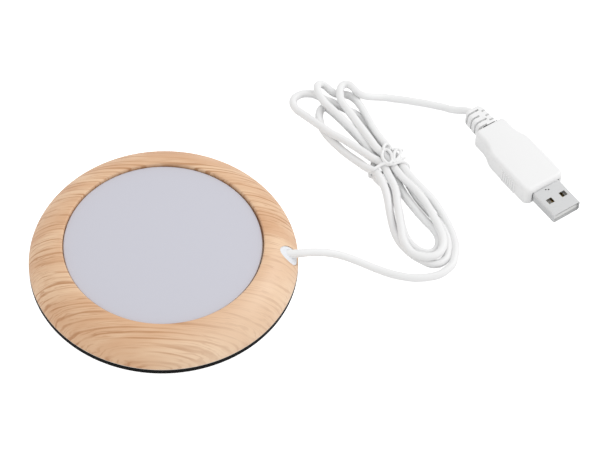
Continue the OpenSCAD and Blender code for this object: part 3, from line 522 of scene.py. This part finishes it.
def makeRing():
    r = ring
    lip = []
    for i in range(r["lipSteps"] + 1):
        t = math.radians(180 - 90 * i / r["lipSteps"])
        lip.append((r["lipR"] + r["lipRound"] * (1 + math.cos(t)),
            r["top"] - r["lipRound"] * (1 - math.sin(t))))
    outer = domeArc(r["lipR"] + r["lipRound"], r["top"], r["bodyR"], r["band"], r["domeSteps"])[1:]
    middle = r["rimMiddle"] * r["rimRound"]  # how far the rim's middle point lies inside its corner
    foot = [(r["bodyR"], r["bottom"] + r["rimRound"]), (r["bodyR"] - middle, r["bottom"] + middle),
        (r["bodyR"] - r["rimRound"], r["bottom"]), (r["bodyR"] - r["wall"], r["bottom"])]
    inner = domeArc(r["skirtR"], r["top"] - r["wall"], r["bodyR"] - r["wall"], r["band"],
        r["innerSteps"])[::-1]
    ledge = [(r["skirtR"], r["ledgeLow"]), (r["ledgeR"], r["ledgeLow"]), (r["ledgeR"], r["ledgeTop"]),
        (r["lipR"], r["ledgeTop"])]
    piece = finishMesh("woodRing", spinProfile(lip + outer + foot + inner + ledge, r["steps"]),
        [printedBeech], r["smoothAngle"])
    bm = bmesh.new()
    portEnd = r["portStart"] + r["portLength"]
    addRod(bm, (r["portStart"], 0, r["portZ"]), (portEnd, 0, r["portZ"]), r["portR"], r["portSteps"])
    carve(piece, toolObject(bm), r["smoothAngle"])
    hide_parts("top_ring")


makeRing()
print("ring spun")

# Grommet: its face follows the dome a little below it, and the cord leaves through it

grommet = {
    "r": 3.4, "edge": 0.4, "inset": 0.2, "back": 39.2,
    "rings": 7, "edgeSteps": 5, "steps": 64, "smoothAngle": 50,
    "hole": 1.54, "holeStart": (38, -0.5, 8.6), "holeEnd": (50, 1.35, 8.84), "holeSteps": 48,
}


def makeGrommet():
    g = grommet
    flat = g["r"] - g["edge"]
    points = [(flat * i / g["rings"], 0) for i in range(g["rings"] + 1)]
    for i in range(1, g["edgeSteps"] + 1):
        t = math.pi / 2 * i / g["edgeSteps"]
        points.append((flat + g["edge"] * math.sin(t), g["edge"] * (math.cos(t) - 1)))
    deep = -10  # far below the face, so that the back's points are told from the face's
    bm = spinProfile(points + [(g["r"], deep), (0, deep)], g["steps"])
    for vert in bm.verts:
        y, z, down = vert.co.x / mm, vert.co.y / mm + ring["portZ"], vert.co.z / mm
        x = domeX(y, z) - g["inset"] + down if down > deep / 2 else g["back"]
        vert.co = Vector((x, y, z)) * mm
    piece = finishMesh("cordGrommet", bm, [finish["whiteGrommet"]], g["smoothAngle"])
    bm = bmesh.new()
    addRod(bm, g["holeStart"], g["holeEnd"], g["hole"], g["holeSteps"])
    carve(piece, toolObject(bm), g["smoothAngle"])
    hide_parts("cord_grommet")


makeGrommet()
print("grommet fitted")

# Heating plate

plate = {
    "r": 35.2, "x": -0.15, "top": 12.1, "bottom": 10.6, "edgeRound": 0.35,
    "steps": 192, "edgeSteps": 5, "smoothAngle": 40,
}


def makePlate():
    p = plate
    rim = []
    for i in range(p["edgeSteps"] + 1):
        t = math.pi / 2 * i / p["edgeSteps"]
        rim.append((p["r"] - p["edgeRound"] * (1 - math.sin(t)),
            p["top"] - p["edgeRound"] * (1 - math.cos(t))))
    bm = spinProfile([(0, p["top"])] + rim + [(p["r"], p["bottom"]), (0, p["bottom"])], p["steps"])
    bmesh.ops.translate(bm, vec=(p["x"] * mm, 0, 0), verts=bm.verts)
    piece = finishMesh("warmPlate", bm, [finish["paleCeramicPlate"]], p["smoothAngle"])
    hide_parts("heating_plate")


makePlate()
print("plate made")

# Twist tie: a band round the hank's waist, two twisted loops on top, and its free ends

tie = {
    "wire": 0.62, "bevel": 5,
    "band": [(79.5, 47.4, 0.8), (76.4, 45.9, 0.8), (74.2, 44.6, 0.85), (73, 43.7, 1.3), (72.5, 43.7, 3),
        (72.7, 43.3, 5), (73.5, 42.8, 6.5), (74.7, 43.3, 7), (76, 44.3, 7.2), (77.7, 45.1, 7.5),
        (79.4, 44.9, 7.5), (81.1, 45.2, 7.5), (82.7, 46.1, 7.5), (84.4, 46.6, 7.4), (85.5, 46.5, 7),
        (86.5, 46.3, 6), (86.9, 46.4, 4.4), (86.8, 46.5, 2.8), (86.3, 46.9, 1.2), (85.6, 47.2, 0.85),
        (82.6, 48.2, 0.8), (79.5, 47.6, 0.8)],
    "frontLoop": [(79.6, 44.7, 8), (80.6, 46.4, 7.9), (80.5, 48.5, 7.8), (79.8, 50.6, 7.7),
        (78.6, 51.8, 7.6), (77.5, 51.4, 7.5), (76.9, 49.9, 7.5), (77.1, 47.8, 7.6), (78, 45.9, 7.8),
        (79.3, 44.9, 7.9), (80.7, 45.2, 8)],
    "backLoop": [(80.9, 45.4, 8), (82.3, 46.8, 8.2), (83.4, 49, 8.2), (83.5, 51.1, 8), (82.6, 51.9, 7.9),
        (81.6, 50.7, 8), (81.2, 48.5, 8.1), (81.4, 46.3, 8)],
    "neck": [(77.7, 50.9, 7.5), (77.4, 52.7, 7.3), (78, 54.5, 7.1), (79.1, 54.8, 7), (79.9, 53.8, 7),
        (80.2, 52.1, 7.2)],
    "longEnd": [(80.2, 52.1, 7.2), (81.4, 52.8, 7.1), (83.1, 52.9, 6.8), (84.7, 52.8, 6.4)],
    "shortEnd": [(82.1, 46, 7.9), (83.8, 47.6, 7.7), (85.4, 48.9, 7.2)],
}


def makeTie():
    runs = [tie[part] for part in ("band", "frontLoop", "backLoop", "neck", "longEnd", "shortEnd")]
    piece = curvePiece("tieBand", runs, tie["wire"], finish["whiteTieJacket"], tie["bevel"])
    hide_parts("twist_tie")
    return piece


tieBand = makeTie()
print("tie wound")

# Plug: local X runs towards the socket, from the grip's front face

plug = {
    "place": (137, 39, 4.2), "turn": -53,
    "past": 1,  # how far the cutters run out of the plug
    "halfWidth": 8.9, "thickness": 8.4, "edge": 1.7, "corner": 2.6, "smoothAngle": 50,
    "waistStart": -22.4, "waistEnd": -26.6, "waistCorner": 2.1,
    "shoulderHalf": 6.9, "back": -34.4, "backCorner": 1.9,
    "mouthSide": 0.3, "mouthTop": 0.05, "mouthDepth": 1.2,
    "ridges": 7, "ridgePitch": 1.15, "ridgeStart": -7.3, "ridgeR": 0.5, "ridgeH": 2.7, "ridgeSteps": 14,
    "shellW": 12, "shellH": 4.5, "shellOut": 12.5, "shellIn": 6.2, "shellWall": 0.3, "shellRound": 0.7,
    "holeX": 6.3, "holeY": 3, "holeL": 2.3, "holeW": 2.5,
    "marks": ((1.3, -1.1), (1.8, -0.2)), "markR": 0.3, "markDepth": 0.6, "markSteps": 20,
    "shellSmoothAngle": 40,
}
relief = {
    "front": -33, "back": -44.8, "frontHalf": 4.3, "backHalf": 3.8, "thickness": 6.6, "edge": 1.5,
    "frontCorner": 0.3, "backCorner": 2.2, "core": 2.3, "coreReach": 2, "smoothAngle": 40,
    "slot": 0.75, "slotSide": 6, "slotReach": 5,
    "nearSlots": ((-42.3, 1.2), (-39.7, -0.4), (-37.2, 1.2), (-34.9, -0.4)),
    "farSlots": ((-41, 1.6), (-38.5, 1.6), (-36, 1.6)),
}
plugFrame = (Matrix.Translation(Vector(plug["place"]) * mm)
    @ Matrix.Rotation(math.radians(plug["turn"]), 4, "Z"))


def placed(bm):
    bmesh.ops.transform(bm, matrix=plugFrame, verts=bm.verts)
    return bm


def makePlugBody():
    p = plug
    half, shoulder = p["halfWidth"], p["shoulderHalf"]
    side = [(0, half, p["corner"]), (p["waistStart"], half, p["waistCorner"]),
        (p["waistEnd"], shoulder, p["waistCorner"]), (p["back"], shoulder, p["backCorner"])]
    corners = side + [(x, -y, r) for x, y, r in side[::-1]]
    bm = outlineSolid(corners, p["thickness"], p["edge"])
    piece = finishMesh("plugGrip", placed(bm), [finish["whitePlugPlastic"]], p["smoothAngle"])
    bm = bmesh.new()
    across, up = p["shellW"] / 2 + p["mouthSide"], p["shellH"] / 2 + p["mouthTop"]
    addBox(bm, (-p["mouthDepth"], -across, -up), (p["past"], across, up))
    carve(piece, toolObject(placed(bm)), p["smoothAngle"])
    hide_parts("plug_body")
    return piece


def makeRidges():
    p = plug
    bm = bmesh.new()
    for i in range(p["ridges"]):
        x = p["ridgeStart"] - i * p["ridgePitch"]
        for y in (-p["halfWidth"], p["halfWidth"]):
            addRod(bm, (x, y, -p["ridgeH"]), (x, y, p["ridgeH"]), p["ridgeR"], p["ridgeSteps"])
    return finishMesh("gripRidges", placed(bm), [finish["whitePlugPlastic"]], p["smoothAngle"])


def makeRelief():
    r = relief
    side = [(r["front"], r["frontHalf"], r["frontCorner"]), (r["back"], r["backHalf"], r["backCorner"])]
    bm = outlineSolid(side + [(x, -y, c) for x, y, c in side[::-1]], r["thickness"], r["edge"])
    piece = finishMesh("plugRelief", placed(bm), [finish["whitePlugPlastic"]], r["smoothAngle"])
    half, out, up = r["slot"] / 2, r["slotSide"], r["slotReach"]
    bm = bmesh.new()
    for x, end in r["nearSlots"]:
        addBox(bm, (x - half, -out, -up), (x + half, end, up))
    for x, start in r["farSlots"]:
        addBox(bm, (x - half, start, -up), (x + half, out, up))
    slots = toolObject(placed(bm))
    bm = bmesh.new()
    addRod(bm, (r["back"] - r["coreReach"], 0, 0), (r["front"] + r["coreReach"], 0, 0), r["core"])
    carve(slots, toolObject(placed(bm)))  # the core stays whole, so the slots go round it
    carve(piece, slots, r["smoothAngle"])
    return piece


def makeShell():
    p = plug
    bm = bmesh.new()
    across, up = p["shellW"] / 2, p["shellH"] / 2
    addBox(bm, (-p["shellIn"], -across, -up), (p["shellOut"], across, up))
    long = [e for e in bm.edges if abs(e.verts[0].co.x - e.verts[1].co.x) > mm]
    bmesh.ops.bevel(bm, geom=long, offset=p["shellRound"] * mm, offset_type="OFFSET", segments=6,
        profile=0.5, affect="EDGES", material=-1)
    bm.normal_update()
    bmesh.ops.delete(bm, geom=[f for f in bm.faces if abs(f.normal.x) > 0.9], context="FACES_ONLY")
    bmesh.ops.solidify(bm, geom=list(bm.faces), thickness=p["shellWall"] * mm)  # grows inwards
    piece = finishMesh("plugShell", placed(bm), [finish["brightSteel"]], p["shellSmoothAngle"])
    bm = bmesh.new()
    top = up + p["past"]
    for y in (-p["holeY"], p["holeY"]):
        addBox(bm, (p["holeX"] - p["holeL"] / 2, y - p["holeW"] / 2, -top),
            (p["holeX"] + p["holeL"] / 2, y + p["holeW"] / 2, top))
    for x, y in p["marks"]:
        addRod(bm, (x, y, up - p["markDepth"]), (x, y, top), p["markR"], p["markSteps"])
    carve(piece, toolObject(placed(bm)), p["shellSmoothAngle"])
    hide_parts("plug_shell")
    return piece


plugGrip = makePlugBody()
gripRidges = makeRidges()
plugRelief = makeRelief()
plugShell = makeShell()
print("plug made")

# Finishes of the solids that keep their own shape

nodeFinish = {
    "plate_seal": "siliconeSeal", "heater_film": "amberFilm", "heater_track": "etchedFoil",
    "thermal_fuse": "fuseShell", "fuse_sleeve": "whiteSleeve", "insulation_pad": "greyFelt",
    "heater_retainer": "springSteel", "retainer_screws": "zincScrew", "base_cover": "blackBasePlastic",
    "base_screws": "zincScrew", "rubber_feet": "blackRubber", "cord_clamp": "clampNylon",
    "clamp_screws": "zincScrew", "positive_wire": "redWire", "negative_wire": "blackWire",
    "fuse_wire": "redWire", "wire_crimps": "tinnedCopper", "solder_joints": "solder",
    "plug_inner_mould": "milkyTongue", "plug_tongue": "milkyTongue", "plug_contacts": "goldContact",
    "plug_cord_end": "whiteCordJacket", "plug_wires": "redWire",
}
for node, name in nodeFinish.items():
    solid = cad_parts[node]
    for slot in solid.material_slots:
        slot.material = finish[name]
print("solids finished")

# Floor and light

studio = {
    "floor": (0.9, 0.9, 0.9), "floorSize": 3, "floorRoughness": 0.9, "floorSpecular": 0.1,
    "floorGlow": 0.85, "mirroredGlow": 0.1, "world": 0.82, "aim": (0.05, 0.02, 0),
    "key": {"place": (0.95, 0.45, 0.95), "size": 0.8, "power": 4.6},
    "fill": {"place": (-0.4, -0.9, 1.1), "size": 1.2, "power": 0.5},
}


def makeStudio():
    floor = bpy.data.meshes.new("floor")
    bm = bmesh.new()
    bmesh.ops.create_grid(bm, x_segments=8, y_segments=8, size=studio["floorSize"])
    bm.to_mesh(floor)
    bm.free()
    ground = bpy.data.objects.new("floor", floor)
    bpy.context.collection.objects.link(ground)
    material, nodes, links, shader = newMaterial("paleFloor")
    shader.inputs["Base Color"].default_value = (*studio["floor"], 1)
    shader.inputs["Roughness"].default_value = studio["floorRoughness"]
    shader.inputs["Specular IOR Level"].default_value = studio["floorSpecular"]
    path = nodes.new("ShaderNodeLightPath")
    mirrored = nodes.new("ShaderNodeMath")
    mirrored.operation = "MULTIPLY"
    mirrored.inputs[1].default_value = studio["mirroredGlow"]
    links.new(path.outputs["Is Glossy Ray"], mirrored.inputs[0])
    glow = nodes.new("ShaderNodeMath")
    glow.operation = "MULTIPLY_ADD"
    glow.inputs[1].default_value = studio["floorGlow"]
    links.new(path.outputs["Is Camera Ray"], glow.inputs[0])
    links.new(mirrored.outputs[0], glow.inputs[2])
    shader.inputs["Emission Color"].default_value = (1, 1, 1, 1)
    links.new(glow.outputs[0], shader.inputs["Emission Strength"])
    floor.materials.append(material)
    world = bpy.data.worlds.new("studio")
    world.use_nodes = True
    nodes, links = world.node_tree.nodes, world.node_tree.links
    sky = nodes["Background"]
    sky.inputs["Color"].default_value = (1, 1, 1, 1)
    path = nodes.new("ShaderNodeLightPath")
    level = nodes.new("ShaderNodeMapRange")
    level.inputs["To Min"].default_value = studio["world"]
    level.inputs["To Max"].default_value = 1
    seen = nodes.new("ShaderNodeMath")
    seen.operation = "MAXIMUM"
    links.new(path.outputs["Is Camera Ray"], seen.inputs[0])
    links.new(path.outputs["Is Glossy Ray"], seen.inputs[1])
    links.new(seen.outputs[0], level.inputs["Value"])
    links.new(level.outputs["Result"], sky.inputs["Strength"])
    bpy.context.scene.world = world
    for name in ("key", "fill"):
        lamp = studio[name]
        data = bpy.data.lights.new(name, "AREA")
        data.shape = "DISK"
        data.size = lamp["size"]
        data.energy = lamp["power"]
        light = bpy.data.objects.new(name, data)
        bpy.context.collection.objects.link(light)
        light.location = lamp["place"]
        aim = Vector(studio["aim"]) - light.location
        light.rotation_euler = aim.to_track_quat("-Z", "Y").to_euler()


makeStudio()
bpy.context.scene.view_settings.view_transform = "Standard"
print("studio lit")
